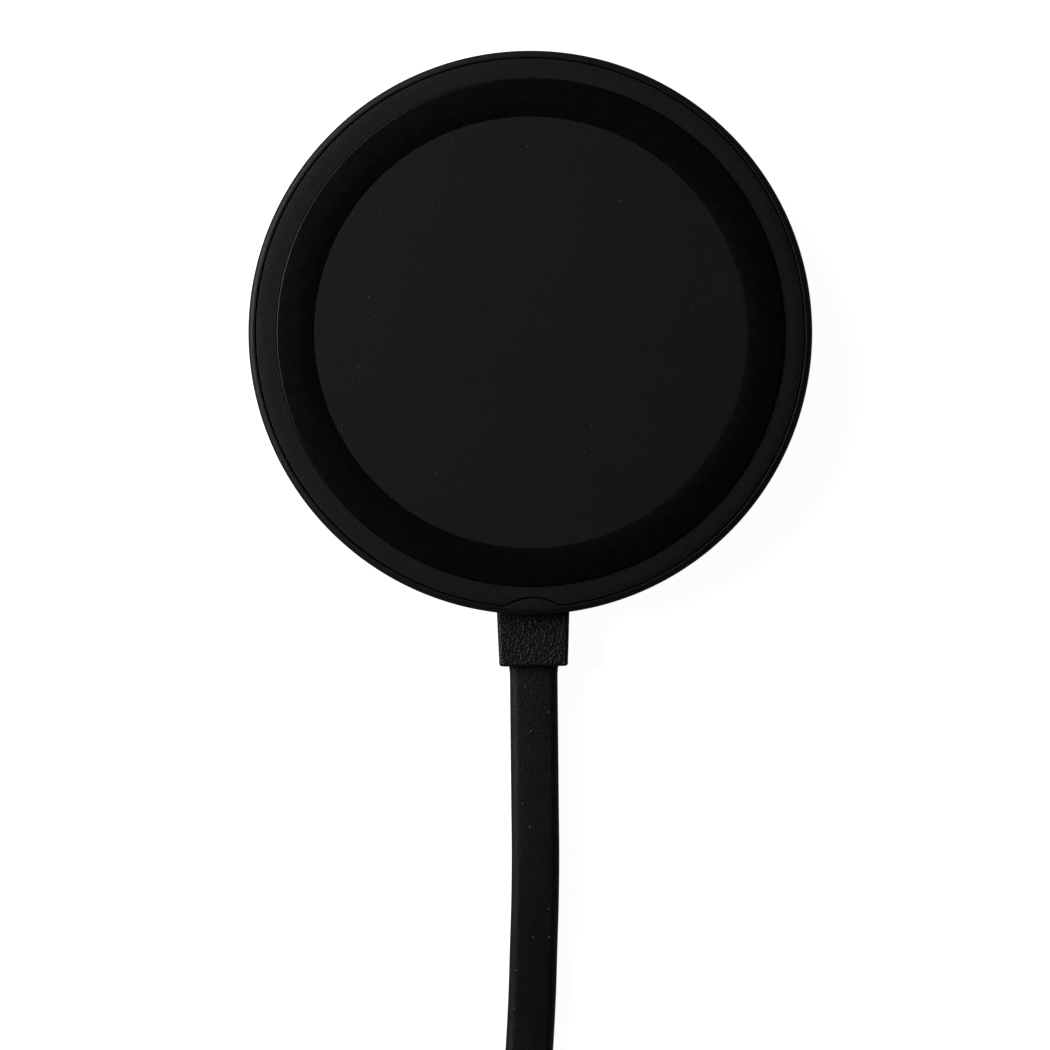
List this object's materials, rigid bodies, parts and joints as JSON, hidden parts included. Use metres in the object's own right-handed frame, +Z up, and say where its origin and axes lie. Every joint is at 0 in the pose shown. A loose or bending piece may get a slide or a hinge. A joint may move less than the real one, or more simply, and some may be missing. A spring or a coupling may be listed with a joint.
{
  "type": "wireless charging pad",
  "caption": "Round magnetic wireless charging pad with a glossy alignment ring, a grained strain relief and a fixed flat cable wound up behind its plug.",
  "frame": {"origin": "centre of the anti-slip base, on the surface the pad lies on", "axes": "+Z up out of the charging face, -Y the way the cable leaves, +X to the right with the cable towards the viewer"},
  "size_m": [0.0708, 0.2053, 0.0065],
  "materials": {
    "casing": "finely textured black polycarbonate",
    "soft_touch_panel": "black soft-touch coating",
    "gloss_trim": "polished black acrylic",
    "tape": "translucent double-sided tape",
    "magnet_nickel": "nickel-plated sintered magnet",
    "holder_plastic": "natural moulded nylon",
    "yoke_steel": "cold-rolled steel",
    "copper_litz": null,
    "ferrite": "sintered ferrite",
    "polyimide": "amber polyimide film",
    "board_laminate": "green solder mask",
    "chip_resin": "black moulding resin",
    "capacitor_ceramic": "tan ceramic with tinned ends",
    "sensor_resin": "amber epoxy bead",
    "silicone_thermal": "blue-grey gap filler",
    "wire_red": "red insulation",
    "wire_black": "black insulation",
    "wire_green": "green insulation",
    "wire_white": "white insulation",
    "solder": "tin solder",
    "base_rubber": "matte black silicone",
    "relief_grained": "spark-eroded black elastomer",
    "cable_jacket": "satin black elastomer jacket",
    "tie_fabric": "black hook-and-loop tape",
    "plug_grip": "black moulded grip",
    "plug_steel": "nickel-plated drawn shell",
    "plug_liner": "black liquid-crystal polymer",
    "contact_gold": "gold-plated contacts"
  },
  "bodies": {
    "root": {"housing": "casing", "top_panel": "soft_touch_panel", "gloss_ring": "gloss_trim", "ring_tape": "tape", "panel_tape": "tape", "magnet_01": "magnet_nickel", "magnet_02": "magnet_nickel", "magnet_03": "magnet_nickel", "magnet_04": "magnet_nickel", "magnet_05": "magnet_nickel", "magnet_06": "magnet_nickel", "magnet_07": "magnet_nickel", "magnet_08": "magnet_nickel", "magnet_09": "magnet_nickel", "magnet_10": "magnet_nickel", "magnet_11": "magnet_nickel", "magnet_12": "magnet_nickel", "magnet_13": "magnet_nickel", "magnet_14": "magnet_nickel", "magnet_15": "magnet_nickel", "magnet_16": "magnet_nickel", "magnet_holder": "holder_plastic", "magnet_yoke": "yoke_steel", "magnet_tape": "tape", "charging_coil": "copper_litz", "coil_tape": "tape", "ferrite_tape": "tape", "ferrite_sheet": "ferrite", "insulating_film": "polyimide", "circuit_board": "board_laminate", "controller_chip": "chip_resin", "bridge_transistors": "chip_resin", "resonant_capacitors": "capacitor_ceramic", "filter_capacitors": "capacitor_ceramic", "sense_resistors": "chip_resin", "power_inductor": "chip_resin", "thermistor": "sensor_resin", "thermal_pad": "silicone_thermal", "wire_power": "wire_red", "wire_ground": "wire_black", "wire_data_plus": "wire_green", "wire_data_minus": "wire_white", "solder_joints": "solder", "base_pad": "base_rubber", "base_tape": "tape", "strain_relief": "relief_grained", "cable_run": "cable_jacket", "cable_coil": "cable_jacket", "cable_tail": "cable_jacket", "cable_tie_1": "tie_fabric", "cable_tie_2": "tie_fabric", "plug_overmould": "plug_grip", "plug_shell": "plug_steel", "plug_insulator": "plug_liner", "plug_contacts": "contact_gold", "plug_board": "board_laminate", "plug_wires": "wire_red"}
  },
  "joints": []
}
